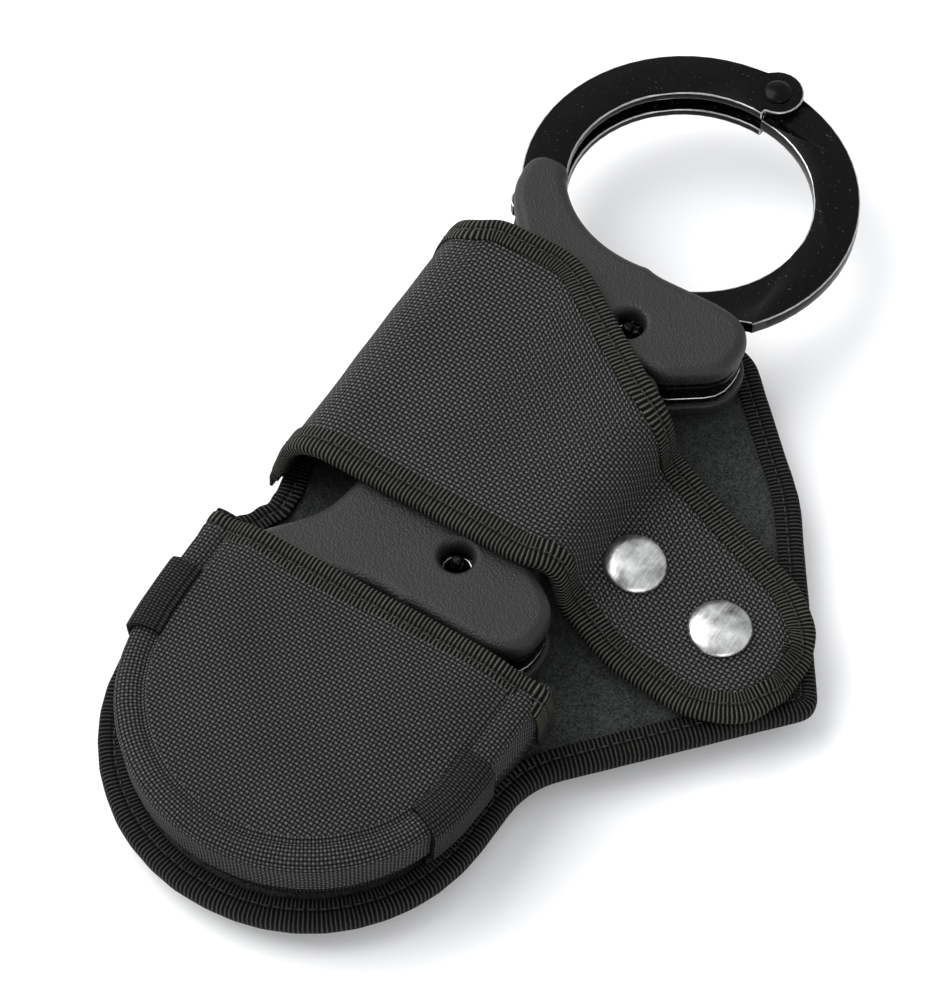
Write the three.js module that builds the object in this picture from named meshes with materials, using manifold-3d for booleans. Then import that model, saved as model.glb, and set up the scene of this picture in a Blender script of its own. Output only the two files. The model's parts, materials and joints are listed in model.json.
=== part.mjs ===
// Rigid handcuffs in their belt pouch.
// Millimetres, +Z up, +Y along the cuffs, +X towards the pouch's strap side.
import * as THREE from "three";
import { mergeVertices } from "three/addons/utils/BufferGeometryUtils.js";
import Module from "manifold-3d";

const kernel = await Module();
kernel.setup();

// ---- Clearances ----
const SEAT = 0.05; // between fixed pieces that are pressed or sewn together
const PLAY = 0.3; // round anything that moves

// ---- Cuffs: overall ----
const RING_Y = 80.9; // from the middle of the cuffs to each ring's centre
const WRIST_X = 29.4; // half axes of the wrist opening
const WRIST_Y = 27.7;
const WRIST_TILT = 12; // degrees
const BOW_WIDTH = 11.2; // width of the bow bars
const STRAND_T = 3.8;
const CHEEK_T = 2.2;
const COVER_T = 5.5; // thickness of the moulded covers over the cheeks
const PIVOT_X = 3.4;
const LOBE_R = 6.3;
const RIVET_R = 2.2;
const RIVET_HEAD_R = 3.4;
const RIVET_HEAD_H = 1.3;

// ---- Cuffs: ratchet ----
const TOOTH_DEPTH = 1.1;
const TOOTH_COUNT = 18;
const TOOTHED_FROM = -2; // degrees about the pivot, from straight away; the tip's end is negative
const TOOTHED_TO = -31.5;
const KEY_X = 9;
const KEY_Y = -44;

// ---- Cuffs: covers and grip ----
const COVER_FOOT = 52.4; // from a ring's centre to its covers' end at the grip
const CASE_INSET = 1; // how far the steel case sits inside the covers' edge
const KEY_RECESS_R = 4.1;
const GRIP_GAP = 0.4;
const LINK_RIVET_X = 2;
const SCREW_Y = 5.5;

// ---- Pouch ----
const LOOP_T = 2;
const BELT_GAP = 5;
const PANEL_T = 3;
const LINING_T = 1;
const WALL_T = 1.8;
const TAPE_T = 0.75; // binding tape
const TAPE_W = 5.6;
const MOUTH_LEAN = 11.5; // degrees the mouth leans back
const FLAP_T = 2.2;
const SNAP_R = 7.5;

// ---- Sizes that follow ----
const OUTER_X = WRIST_X + BOW_WIDTH - 0.4;
const OUTER_Y = WRIST_Y + BOW_WIDTH + 0.3;
const PIVOT_Y = WRIST_Y + BOW_WIDTH / 2 + 2;
const TOOTH_TIP_R = PIVOT_Y + WRIST_Y + 8; // measured from the pivot
const CHEEK_IN = STRAND_T / 2 + PLAY; // the double bow's bars stand this far from the middle plane
const CHEEK_OUT = CHEEK_IN + CHEEK_T;
const BODY_HALF = CHEEK_OUT + COVER_T; // half the thickness over the covers
const PAWL_T = STRAND_T - 0.4;
const COVER_TOE_X = WRIST_X - 6.7; // where the covers' outer corner begins at the grip
const SNAPS = [
  { name: "inner", x: COVER_TOE_X + 16.7, y: -10.6 }, // clear of the fold
  { name: "outer", x: 64, y: -14 },
];
const GRIP_END = RING_Y - COVER_FOOT; // from the middle of the cuffs
// The cheeks' tangs inside the grip; end is their distance from the middle.
const TANG = { x0: -10, x1: 14, end: GRIP_END - 18.5 };
const LINK_RIVETS = [GRIP_END - 14, GRIP_END - 5];
const TOOTH_ROOT_R = TOOTH_TIP_R - TOOTH_DEPTH;
const TOOTHED_INNER_R = PIVOT_Y + WRIST_Y;
const PANEL_Z = LOOP_T + BELT_GAP;
const LINING_Z = PANEL_Z + PANEL_T + SEAT;
const PANEL_TOP = LINING_Z + LINING_T;
const CUFF_Z = PANEL_TOP + TAPE_T + 0.4 + BODY_HALF; // height of the cuffs' middle plane above the table
const FLAP_UNDER = CUFF_Z + BODY_HALF + 1.2;
const POCKET_BASE = PANEL_TOP + TAPE_T + SEAT;
const POCKET_R = OUTER_X + 3;
const POCKET_Y = -RING_Y - 1.5; // centre of the pocket's round end
const MOUTH_Y = -RING_Y + 29.1; // where the pocket's mouth meets the panel

const deg = (a) => (a * Math.PI) / 180;
const root = new THREE.Group();
root.name = "handcuffs_in_pouch";

const look = (name, color, metalness, roughness) =>
  new THREE.MeshStandardMaterial({ name, color, metalness, roughness });
const looks = {
  blackSteel: look("black_steel", 0x0d0d0e, 0.8, 0.25),
  springSteel: look("spring_steel", 0x8a8d90, 1, 0.3),
  polymer: look("grip_polymer", 0x1d1d1f, 0, 0.6),
  nylon: look("ballistic_nylon", 0x17181a, 0, 0.85),
  tape: look("binding_tape", 0x1b1c19, 0, 0.8),
  webbing: look("nylon_webbing", 0x161715, 0, 0.85),
  felt: look("felt_lining", 0x121412, 0, 1),
  snap: look("snap_metal", 0x77797c, 1, 0.35),
};

// ---- Solid modelling helpers ----
function solid(geometry) {
  const g = (geometry.index ? geometry.toNonIndexed() : geometry.clone()).deleteAttribute("normal");
  if (g.getAttribute("uv")) g.deleteAttribute("uv");
  const m = mergeVertices(g, 1e-4);
  return new kernel.Manifold(
    new kernel.Mesh({
      numProp: 3,
      vertProperties: new Float32Array(m.attributes.position.array),
      triVerts: new Uint32Array(m.index.array),
    }),
  );
}

function geometryOf(made) {
  const m = made.getMesh();
  const g = new THREE.BufferGeometry();
  g.setAttribute("position", new THREE.BufferAttribute(new Float32Array(m.vertProperties), 3));
  g.setIndex(new THREE.BufferAttribute(new Uint32Array(m.triVerts), 1));
  g.computeVertexNormals();
  return g;
}

function cut(body, ...tools) {
  return geometryOf(tools.reduce((s, t) => s.subtract(solid(t)), solid(body)));
}

function join(body, ...others) {
  return geometryOf(others.reduce((s, t) => s.add(solid(t)), solid(body)));
}

function common(a, b) {
  return geometryOf(solid(a).intersect(solid(b)));
}

function add(parent, name, geometry, material) {
  const mesh = new THREE.Mesh(geometry, material.clone());
  mesh.name = name;
  parent.add(mesh);
  return mesh;
}

// ---- Outlines ----
// A closed outline, anticlockwise, of corners [x, y, radius].
// Growing it moves every side outwards by that much.
function outline(corners, grow = 0, step = 15) {
  const n = corners.length;
  const points = [];
  for (let i = 0; i < n; i++) {
    const [px, py] = corners[(i + n - 1) % n];
    const [x, y, radius] = corners[i];
    const [nx, ny] = corners[(i + 1) % n];
    const la = Math.hypot(x - px, y - py);
    const lb = Math.hypot(nx - x, ny - y);
    const a = [(x - px) / la, (y - py) / la];
    const b = [(nx - x) / lb, (ny - y) / lb];
    const cross = a[0] * b[1] - a[1] * b[0];
    const dot = a[0] * b[0] + a[1] * b[1];
    const k = grow / (1 + dot);
    const vx = x + k * (a[1] + b[1]);
    const vy = y - k * (a[0] + b[0]);
    if (!radius) {
      points.push([vx, vy]);
      continue;
    }
    const side = Math.sign(cross);
    const r = Math.max(radius + side * grow, 0.05);
    const turn = Math.atan2(cross, dot);
    const back = r * Math.tan(Math.abs(turn) / 2);
    const cx = vx - a[0] * back - side * a[1] * r;
    const cy = vy - a[1] * back + side * a[0] * r;
    const from = Math.atan2(-side * a[0], side * a[1]);
    const count = Math.max(2, Math.ceil(Math.abs(turn) / deg(step)));
    for (let s = 0; s <= count; s++) {
      const t = from + (turn * s) / count;
      points.push([cx + r * Math.cos(t), cy + r * Math.sin(t)]);
    }
  }
  return points;
}

// Points along an ellipse from one angle to another, both in degrees.
function ellipse(rx, ry, tilt, from, to, count) {
  return Array.from({ length: count + 1 }, (_, i) => {
    const t = deg(from + ((to - from) * i) / count);
    const c = Math.cos(deg(tilt));
    const s = Math.sin(deg(tilt));
    const x = rx * Math.cos(t);
    const y = ry * Math.sin(t);
    return [x * c - y * s, x * s + y * c];
  });
}

function arc(cx, cy, r, from, to, count) {
  return ellipse(r, r, 0, from, to, count).map(([x, y]) => [x + cx, y + cy]);
}

function shapeOf(points, ...holes) {
  const shape = new THREE.Shape(points.map(([x, y]) => new THREE.Vector2(x, y)));
  shape.holes = holes.map((h) => new THREE.Path(h.map(([x, y]) => new THREE.Vector2(x, y))));
  return shape;
}

function plate(points, z0, z1, ...holes) {
  const shape = shapeOf(points, ...holes);
  const g = new THREE.ExtrudeGeometry(shape, { depth: z1 - z0, bevelEnabled: false });
  return g.translate(0, 0, z0);
}

function box(x0, x1, y0, y1, z0, z1) {
  const g = new THREE.BoxGeometry(x1 - x0, y1 - y0, z1 - z0);
  return g.translate((x0 + x1) / 2, (y0 + y1) / 2, (z0 + z1) / 2);
}

function pin(x, y, r, z0, z1, sides = 16) {
  const g = new THREE.CylinderGeometry(r, r, z1 - z0, sides).rotateX(Math.PI / 2);
  return g.translate(x, y, (z0 + z1) / 2);
}

// A turned piece from [radius, z] pairs, standing along Z.
function turned(profile, sides = 16) {
  const points = profile.map(([r, z]) => new THREE.Vector2(r, z));
  return new THREE.LatheGeometry(points, sides).rotateX(Math.PI / 2);
}

// A closed solid through level outlines [points, height or height(x, y)], bottom first.
function loft(levels) {
  const n = levels[0][0].length;
  const position = [];
  for (const [points, z] of levels) {
    for (const [x, y] of points) position.push(x, y, typeof z === "function" ? z(x, y) : z);
  }
  const index = [];
  for (let k = 0; k + 1 < levels.length; k++) {
    for (let i = 0; i < n; i++) {
      const a = k * n + i;
      const b = k * n + ((i + 1) % n);
      index.push(a, b, b + n, a, b + n, a + n);
    }
  }
  const flat = (points) => points.map(([x, y]) => new THREE.Vector2(x, y));
  const last = (levels.length - 1) * n;
  for (const [a, b, c] of THREE.ShapeUtils.triangulateShape(flat(levels[0][0]), [])) index.push(a, c, b);
  for (const [a, b, c] of THREE.ShapeUtils.triangulateShape(flat(levels.at(-1)[0]), [])) {
    index.push(last + a, last + b, last + c);
  }
  const g = new THREE.BufferGeometry();
  g.setAttribute("position", new THREE.Float32BufferAttribute(position, 3));
  g.setIndex(index);
  return g;
}

// ---- One cuff, drawn round its ring's centre with the pivot towards +Y ----
const ringOuter = ellipse(OUTER_X, OUTER_Y, WRIST_TILT, 0, 360, 64).slice(0, -1);
const wrist = ellipse(WRIST_X, WRIST_Y, WRIST_TILT, 0, 360, 56).slice(0, -1);

// The covers' edge: rounded corners, then the wrist opening's curve from the right end to the horn.
const wristEdge = ellipse(WRIST_X + 0.15, WRIST_Y + 0.15, WRIST_TILT, -92, -158, 12);
const coverCorners = [
  [-WRIST_X + 5, -12.3, 3.6],
  [-WRIST_X - 5.8, -12.6, 4.6],
  [-WRIST_X - 5.4, -24.5, 16],
  [-WRIST_X + 3, -34.2, 9],
  [-22.6, -38.5, 20],
  [-20.6, -COVER_FOOT, 2.5],
  [COVER_TOE_X, -COVER_FOOT, 7],
  [WRIST_X + 5.8, -43.6, 9],
  [WRIST_X + 5.4, -WRIST_Y - 1.2, 8.5],
  [24, -WRIST_Y, 14],
  [7, -WRIST_Y - 0.5, 14],
  ...wristEdge.map(([x, y]) => [x, y, 0]),
];
const caseCorners = (grow, step) => outline(coverCorners, grow, step);

const lobe = (r) => arc(PIVOT_X, PIVOT_Y, r, 0, 360, 24).slice(0, -1);
const keyHole = (z0, z1) =>
  join(pin(KEY_X, KEY_Y, 2.9, z0, z1, 20), box(KEY_X - 1.1, KEY_X + 1.1, KEY_Y, KEY_Y + 4.2, z0, z1));

function cheek(z0, z1) {
  const ring = plate(ringOuter, z0, z1, wrist);
  const openSide = box(PIVOT_X, 60, -WRIST_Y - 2.8, 60, z0 - 1, z1 + 1);
  const bow = cut(ring, openSide);
  const caseplate = cut(plate(caseCorners(-CASE_INSET, 20), z0, z1), plate(wrist, z0 - 1, z1 + 1));
  const tang = box(TANG.x0, TANG.x1, -RING_Y + TANG.end, 2 - COVER_FOOT, z0, z1);
  const lug = plate(lobe(LOBE_R), z0, z1);
  const rivets = LINK_RIVETS.map((y) => pin(LINK_RIVET_X, y - RING_Y, RIVET_R + 0.1, z0 - 1, z1 + 1));
  const whole = join(bow, caseplate, lug, tang);
  const pivot = pin(PIVOT_X, PIVOT_Y, RIVET_R + 0.15, z0 - 1, z1 + 1);
  return cut(whole, pivot, keyHole(z0 - 1, z1 + 1), ...rivets);
}

// Polar point about the pivot; 0 degrees points from the pivot through the wrist, negative towards the tip.
const aboutPivot = (r, a) => [PIVOT_X + r * Math.sin(deg(a)), PIVOT_Y - r * Math.cos(deg(a))];

function strand() {
  const z = STRAND_T / 2;
  const right = cut(plate(ringOuter, -z, z, wrist), box(-60, PIVOT_X, -60, 60, -z - 1, z + 1));
  const shoulder = aboutPivot(65.6, 24.5);
  const start = aboutPivot(TOOTH_TIP_R, TOOTHED_FROM);
  const step = (TOOTHED_TO - TOOTHED_FROM) / TOOTH_COUNT;
  const teeth = [];
  for (let i = 0; i < TOOTH_COUNT; i++) {
    const a = TOOTHED_FROM + step * i;
    teeth.push(aboutPivot(TOOTH_TIP_R, a), aboutPivot(TOOTH_ROOT_R, a + step * 0.3));
  }
  const mid = (TOOTH_TIP_R + TOOTHED_INNER_R) / 2;
  const nose = aboutPivot(mid, TOOTHED_TO);
  const half = (TOOTH_TIP_R - TOOTHED_INNER_R) / 2;
  const heading = -90 + TOOTHED_TO;
  const round = arc(nose[0], nose[1], half, heading, heading - 180, 10);
  const inner = Array.from({ length: 17 }, (_, i) =>
    aboutPivot(TOOTHED_INNER_R, (TOOTHED_TO * (16 - i)) / 16),
  );
  const base = [PIVOT_X + 1, PIVOT_Y - TOOTHED_INNER_R];
  const tail = plate([start, ...teeth, ...round, ...inner, base].reverse(), -z, z);
  const heel = plate([[PIVOT_X - 1.5, -60], [60, -60], [60, shoulder[1]], shoulder, start], -z - 1, z + 1);
  const bow = cut(right, heel);
  const lug = plate(lobe(LOBE_R), -z, z);
  const under = [[PIVOT_X - 1, -WRIST_Y - 0.6], [PIVOT_X + 3, -WRIST_Y - 0.2], [14, -WRIST_Y - 2.3]];
  const bridge = plate([start, ...under], -z, z);
  const whole = join(bow, tail, lug, bridge);
  return cut(whole, pin(PIVOT_X, PIVOT_Y, RIVET_R + PLAY, -z - 1, z + 1));
}

function pivotRivet() {
  const foot = CHEEK_OUT + SEAT;
  const top = foot + RIVET_HEAD_H;
  return turned([
    [0, -top],
    [RIVET_HEAD_R * 0.62, -top + 0.15],
    [RIVET_HEAD_R, -foot - 0.45],
    [RIVET_HEAD_R, -foot],
    [RIVET_R, -foot],
    [RIVET_R, foot],
    [RIVET_HEAD_R, foot],
    [RIVET_HEAD_R, foot + 0.45],
    [RIVET_HEAD_R * 0.62, top - 0.15],
    [0, top],
  ], 20).translate(PIVOT_X, PIVOT_Y, 0);
}

// Lock case: what fills the gap between the cheeks outside the strand's sweep, with pockets for the lock.
const PAWL_X = 3;
const PAWL_Y = -42.8;
const PAWL_FACE_R = TOOTH_TIP_R + PLAY;
const SPRING_X = -4.2;
const BAR = { x0: -19.2, x1: -10.6, y0: -43.6, y1: -41.9, travel: 3 };

function lockBody() {
  const z = CHEEK_IN - SEAT;
  const block = plate(caseCorners(-CASE_INSET, 20), -z, z);
  const sweep = pin(PIVOT_X, PIVOT_Y, TOOTH_TIP_R + PLAY + 0.1, -z - 1, z + 1, 144);
  const room = plate(outline([
    [-12, -34, 0],
    [-12, -41.4, 0],
    [BAR.x0 - PLAY, -41.4, 0],
    [BAR.x0 - PLAY, BAR.y0 - 0.4, 0],
    [-7.2, BAR.y0 - 0.4, 0.3],
    [-7.2, -46.9, 0.5],
    [12.7, -46.9, 3.2],
    [12.7, -34, 0],
  ]), -z - 1, z + 1);
  return cut(block, sweep, room);
}

function pawl() {
  const z = PAWL_T / 2;
  const face = [];
  for (let i = 0; i < 4; i++) {
    const a = -5.2 - 1.63 * i;
    face.push(aboutPivot(PAWL_FACE_R + 0.9, a + 0.45), aboutPivot(PAWL_FACE_R, a));
  }
  const body = plate([
    [4.6, -40.6],
    ...face,
    [-10.2, -39.6],
    [-10.2, -41],
    [0.4, -43.6],
    [2.2, -45.1],
    [4.4, -44.8],
    [5.4, -41.6],
    [12, -39.9],
    [12, -38.5],
    [6, -39.4],
  ].reverse(), -z, z);
  return cut(body, pin(PAWL_X, PAWL_Y, 1.15, -z - 1, z + 1));
}

function pawlSpring() {
  const turns = 3;
  const top = -42.7;
  const bottom = -46.7;
  const path = new THREE.CatmullRomCurve3(
    Array.from({ length: turns * 8 + 1 }, (_, i) => {
      const t = (i / 8) * 2 * Math.PI;
      const y = bottom + 0.25 + ((top - bottom - 0.5) * i) / (turns * 8);
      return new THREE.Vector3(SPRING_X + 1.1 * Math.cos(t), y, 1.1 * Math.sin(t));
    }),
  );
  const wire = shapeOf(arc(0, 0, 0.22, 0, 360, 5).slice(0, -1));
  return new THREE.ExtrudeGeometry(wire, { steps: turns * 9, extrudePath: path });
}

function lockBar() {
  const z = PAWL_T / 2;
  return box(BAR.x0, BAR.x1, BAR.y0, BAR.y1, -z, z);
}

function keyPost() {
  const h = BODY_HALF - 1.4;
  return turned([
    [0, -h],
    [0.9, -h],
    [1.4, -h + 0.6],
    [1.4, -0.5],
    [2.7, -0.5],
    [2.7, 0.5],
    [1.4, 0.5],
    [1.4, h - 0.6],
    [0.9, h],
    [0, h],
  ], 12).translate(KEY_X, KEY_Y, 0);
}

// A moulded cover with a rounded outer edge, for the side z > 0.
function coverPlate(corners, z0, z1, round, step) {
  const level = (grow, z) => [outline(corners, grow, step), z];
  return loft([
    level(0, z0),
    level(0, z1 - round * 1.1),
    level(-round * 0.28, z1 - round * 0.42),
    level(-round, z1),
  ]);
}

function cover() {
  const made = coverPlate(coverCorners, CHEEK_OUT + SEAT, BODY_HALF, 2.1, 15);
  const hole = turned([
    [0, 0],
    [KEY_RECESS_R - 0.3, 0],
    [KEY_RECESS_R - 0.3, BODY_HALF - CHEEK_OUT - 1.1],
    [KEY_RECESS_R + 0.6, BODY_HALF - CHEEK_OUT + 0.4],
    [0, BODY_HALF - CHEEK_OUT + 0.4],
  ], 20).translate(KEY_X, KEY_Y, CHEEK_OUT - 0.3);
  return cut(made, hole);
}

function cuff(who, turnedOver) {
  const group = new THREE.Group();
  group.position.set(0, turnedOver ? -RING_Y : RING_Y, CUFF_Z);
  group.rotation.x = turnedOver ? Math.PI : 0;
  root.add(group);
  const sides = turnedOver ? ["rear", "front"] : ["front", "rear"];
  add(group, `${who}_${sides[0]}_cover`, cover(), looks.polymer);
  add(group, `${who}_${sides[1]}_cover`, cover(), looks.polymer).scale.z = -1;
  add(group, `${who}_${sides[0]}_cheek`, cheek(CHEEK_IN, CHEEK_OUT), looks.blackSteel);
  add(group, `${who}_${sides[1]}_cheek`, cheek(-CHEEK_OUT, -CHEEK_IN), looks.blackSteel);
  add(group, `${who}_strand`, strand(), looks.blackSteel);
  add(group, `${who}_pivot_rivet`, pivotRivet(), looks.blackSteel);
  add(group, `${who}_lock_body`, lockBody(), looks.blackSteel);
  add(group, `${who}_pawl`, pawl(), looks.springSteel);
  const pawlPin = pin(PAWL_X, PAWL_Y, 0.9, -CHEEK_IN + SEAT, CHEEK_IN - SEAT, 16);
  add(group, `${who}_pawl_pin`, pawlPin, looks.springSteel);
  add(group, `${who}_pawl_spring`, pawlSpring(), looks.springSteel);
  add(group, `${who}_lock_bar`, lockBar(), looks.springSteel);
  add(group, `${who}_key_post`, keyPost(), looks.springSteel);
}
cuff("upper", false);
cuff("lower", true);

// ---- The grip between the two cuffs ----
const grip = new THREE.Group();
grip.position.set(0, 0, CUFF_Z);
root.add(grip);
const SHELL_END = GRIP_END - GRIP_GAP;
const gripCorners = [
  [-20.6, -SHELL_END, 2.5],
  [24.6, -SHELL_END, 4],
  [21.6, 0, 60],
  [24.6, SHELL_END, 4],
  [-20.6, SHELL_END, 2.5],
  [-17.4, 0, 60],
];
const SCREW_R = 1.6;
const SCREW_HEAD_R = 3.2;
const screwYs = { upper: SCREW_Y, lower: -SCREW_Y };
const linkYs = LINK_RIVETS.flatMap((y) => [y, -y]);

function linkBar() {
  const z = CHEEK_IN - SEAT;
  const bar = box(TANG.x0, TANG.x1, -SHELL_END, SHELL_END, -z, z);
  const rivets = linkYs.map((y) => pin(LINK_RIVET_X, y, RIVET_R + 0.1, -z - 1, z + 1));
  const bolts = Object.values(screwYs).map((y) => pin(LINK_RIVET_X, y, SCREW_R + 0.15, -z - 1, z + 1));
  return cut(bar, ...rivets, ...bolts);
}

function linkRivet() {
  const foot = CHEEK_OUT + SEAT;
  const top = foot + 0.9;
  return turned([
    [0, -top],
    [RIVET_R + 0.7, -top],
    [RIVET_R + 1, -foot],
    [RIVET_R, -foot],
    [RIVET_R, foot],
    [RIVET_R + 1, foot],
    [RIVET_R + 0.7, top],
    [0, top],
  ], 12);
}

function gripShell() {
  const shell = coverPlate(gripCorners, SEAT, BODY_HALF, 2.1, 15);
  const room = box(TANG.x0 - 0.2, TANG.x1 + 0.2, -RING_Y, RING_Y, -1, CHEEK_OUT + SEAT);
  const heads = linkYs.map((y) => pin(LINK_RIVET_X, y, RIVET_R + 1.3, 0, CHEEK_OUT + 1.3));
  const recess = Object.values(screwYs).flatMap((y) => [
    pin(LINK_RIVET_X, y, SCREW_R + 0.15, 0, BODY_HALF + 1),
    pin(LINK_RIVET_X, y, SCREW_HEAD_R + 0.2, BODY_HALF - 2, BODY_HALF + 1),
  ]);
  return cut(shell, room, ...heads, ...recess);
}

function gripScrew() {
  const h = BODY_HALF - 2 + SEAT;
  return turned([
    [0, -h - 1.4],
    [SCREW_HEAD_R, -h - 1.4],
    [SCREW_HEAD_R, -h],
    [SCREW_R, -h],
    [SCREW_R, h],
    [SCREW_HEAD_R, h],
    [SCREW_HEAD_R, h + 0.9],
    [SCREW_HEAD_R - 0.5, h + 1.4],
    [1.2, h + 1.4],
    [1.2, h + 0.5],
    [0, h + 0.5],
  ], 12);
}

add(grip, "link_bar", linkBar(), looks.blackSteel);
add(grip, "grip_front_shell", gripShell(), looks.polymer);
add(grip, "grip_rear_shell", gripShell(), looks.polymer).scale.z = -1;
linkYs.forEach((y, i) => {
  add(grip, `link_rivet_${i + 1}`, linkRivet(), looks.springSteel).position.set(LINK_RIVET_X, y, 0);
});
for (const [which, y] of Object.entries(screwYs)) {
  add(grip, `grip_screw_${which}`, gripScrew(), looks.springSteel).position.set(LINK_RIVET_X, y, 0);
}

// ---- Pouch: back panel, lining, binding and belt loop ----
const panelCorners = [
  [-POCKET_R - 4.3, POCKET_Y - POCKET_R - 4.9, POCKET_R + 3.3],
  [POCKET_R + 1, POCKET_Y - POCKET_R - 1.9, POCKET_R + 1.3],
  [POCKET_R + 2.8, MOUTH_Y - 15.2, 20],
  [91, -17.5, 4],
  [60, 28.5, 50],
  [31, 57, 12],
  [-43, 57, 8],
  [-44, -24, 10],
  [-40.8, -36, 8],
  [-POCKET_R - 4.3, MOUTH_Y - 0.2, 14],
];
const backPanel = plate(outline(panelCorners, 0, 9), PANEL_Z, PANEL_Z + PANEL_T);
add(root, "back_panel", backPanel, looks.nylon);
add(root, "back_lining", plate(outline(panelCorners, 0, 9), LINING_Z, PANEL_TOP), looks.felt);

function backBinding() {
  const whole = plate(
    outline(panelCorners, TAPE_T + SEAT, 9),
    PANEL_Z - TAPE_T,
    PANEL_TOP + TAPE_T,
    outline(panelCorners, -TAPE_W, 9),
  );
  const core = plate(outline(panelCorners, SEAT, 9), PANEL_Z - SEAT, PANEL_TOP + SEAT);
  return cut(whole, core);
}
add(root, "back_binding", backBinding(), looks.tape);

// The belt loop: a webbing strip that stands off the panel by the belt's gap and is sewn on at its two ends.
const LOOP = { x0: -22, x1: 28, y0: -44, y1: 38 };
function beltLoop() {
  const under = PANEL_Z - SEAT;
  const side = [
    [LOOP.y0 - 8, under],
    [LOOP.y0 - 8, under - LOOP_T],
    [LOOP.y0 - 4, under - LOOP_T],
    [LOOP.y0, 0],
    [LOOP.y1, 0],
    [LOOP.y1 + 4, under - LOOP_T],
    [LOOP.y1 + 8, under - LOOP_T],
    [LOOP.y1 + 8, under],
    [LOOP.y1 + 3, under],
    [LOOP.y1 - 1.5, LOOP_T],
    [LOOP.y0 + 1.5, LOOP_T],
    [LOOP.y0 - 3, under],
  ];
  // drawn in Y and Z, so the extrusion's Z becomes X
  const g = plate(side, LOOP.x0, LOOP.x1);
  return g.applyMatrix4(new THREE.Matrix4().set(0, 0, 1, 0, 1, 0, 0, 0, 0, 1, 0, 0, 0, 0, 0, 1));
}
add(root, "belt_loop", beltLoop(), looks.webbing);

// ---- Pouch: pocket ----
const POCKET_HIGH_Y = 11.9 - RING_Y; // the covers' horns end here, and the pocket starts to fall
const POCKET_LOW_Y = POCKET_HIGH_Y - 23;
const pocketCorners = [
  [-POCKET_R, POCKET_Y - POCKET_R, POCKET_R - 0.3],
  [POCKET_R, POCKET_Y - POCKET_R, POCKET_R - 0.3],
  [POCKET_R + 0.1, POCKET_HIGH_Y - 7, 0],
  [POCKET_R + 0.3, POCKET_HIGH_Y, 0],
  [POCKET_R + 2, MOUTH_Y + 15, 2],
  [-POCKET_R, MOUTH_Y + 15, 2],
  [-POCKET_R, POCKET_HIGH_Y, 0],
  [-POCKET_R, POCKET_HIGH_Y - 7, 0],
];
// The pocket's outside, as [inset from the base edge, height at the mouth, height over the bare ring].
const COVER_TOP = CUFF_Z + BODY_HALF;
const POCKET_OUTSIDE = [
  [0, POCKET_BASE, POCKET_BASE],
  [0.2, COVER_TOP - 12, COVER_TOP - 12],
  [0.7, COVER_TOP - 5.4, COVER_TOP - 5.4],
  [1.9, COVER_TOP - 2.6, COVER_TOP - 3],
  [4.6, COVER_TOP + 0.3, COVER_TOP - 1.4],
  [8.6, COVER_TOP + 2.6, COVER_TOP - 0.6],
  [13, COVER_TOP + 3.6, COVER_TOP - 0.2],
];

// The pocket's outside moved outwards, square to itself, by a distance.
function pocketSolid(grow, base = POCKET_BASE) {
  const levels = POCKET_OUTSIDE.map(([inset, high, low], k) => {
    const before = POCKET_OUTSIDE[Math.max(k - 1, 0)];
    const after = POCKET_OUTSIDE[Math.min(k + 1, POCKET_OUTSIDE.length - 1)];
    const lean = Math.atan2(after[0] - before[0], after[2] - before[2]);
    const lift = k === POCKET_OUTSIDE.length - 1 ? grow : grow * Math.sin(lean);
    const z = (x, y) => {
      const t = Math.min(Math.max((POCKET_HIGH_Y - y) / (POCKET_HIGH_Y - POCKET_LOW_Y), 0), 1);
      return k ? high + (low - high) * t * t * (3 - 2 * t) + lift : base;
    };
    return [outline(pocketCorners, grow * Math.cos(lean) - inset, 9), z];
  });
  return loft(levels);
}

// A slab square to the pocket's mouth, between two distances in front of it.
function mouthSlab(y0, y1) {
  return box(-60, 60, y0, y1, -20, 60).rotateX(deg(MOUTH_LEAN)).translate(0, MOUTH_Y, POCKET_BASE);
}

function pocket() {
  const shell = cut(pocketSolid(0), pocketSolid(-WALL_T, POCKET_BASE - 2));
  return cut(shell, mouthSlab(0, 40));
}
add(root, "pocket", pocket(), looks.nylon);

function pocketBinding() {
  const whole = cut(pocketSolid(TAPE_T + SEAT), pocketSolid(-WALL_T - TAPE_T - SEAT, POCKET_BASE - 2));
  const wall = cut(pocketSolid(SEAT, POCKET_BASE - 1), pocketSolid(-WALL_T - SEAT, POCKET_BASE - 2));
  const strip = common(whole, mouthSlab(-TAPE_W, TAPE_T + SEAT));
  return cut(strip, common(wall, mouthSlab(-TAPE_W - 5, SEAT)));
}
add(root, "pocket_binding", pocketBinding(), looks.tape);

// Webbing tabs folded over the pocket's sides, where its gusset is sewn to the panel.
const TAB_T = 1.6;
const TAB_W = 20;
function sideTab(x0, x1, y) {
  const skin = cut(pocketSolid(TAB_T + SEAT), pocketSolid(SEAT, POCKET_BASE - 1));
  return common(skin, box(x0, x1, y - TAB_W / 2, y + TAB_W / 2, 0, 60));
}
add(root, "pocket_tab_left", sideTab(-POCKET_R - 9, 6.2 - POCKET_R, 0.9 - RING_Y), looks.webbing);
add(root, "pocket_tab_right", sideTab(POCKET_R - 7.2, POCKET_R + 9, -RING_Y - 7.1), looks.webbing);

// ---- Pouch: flap ----
const HINGE_X = -45;
const HINGE_Z = PANEL_TOP + TAPE_T + 0.2;
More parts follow.
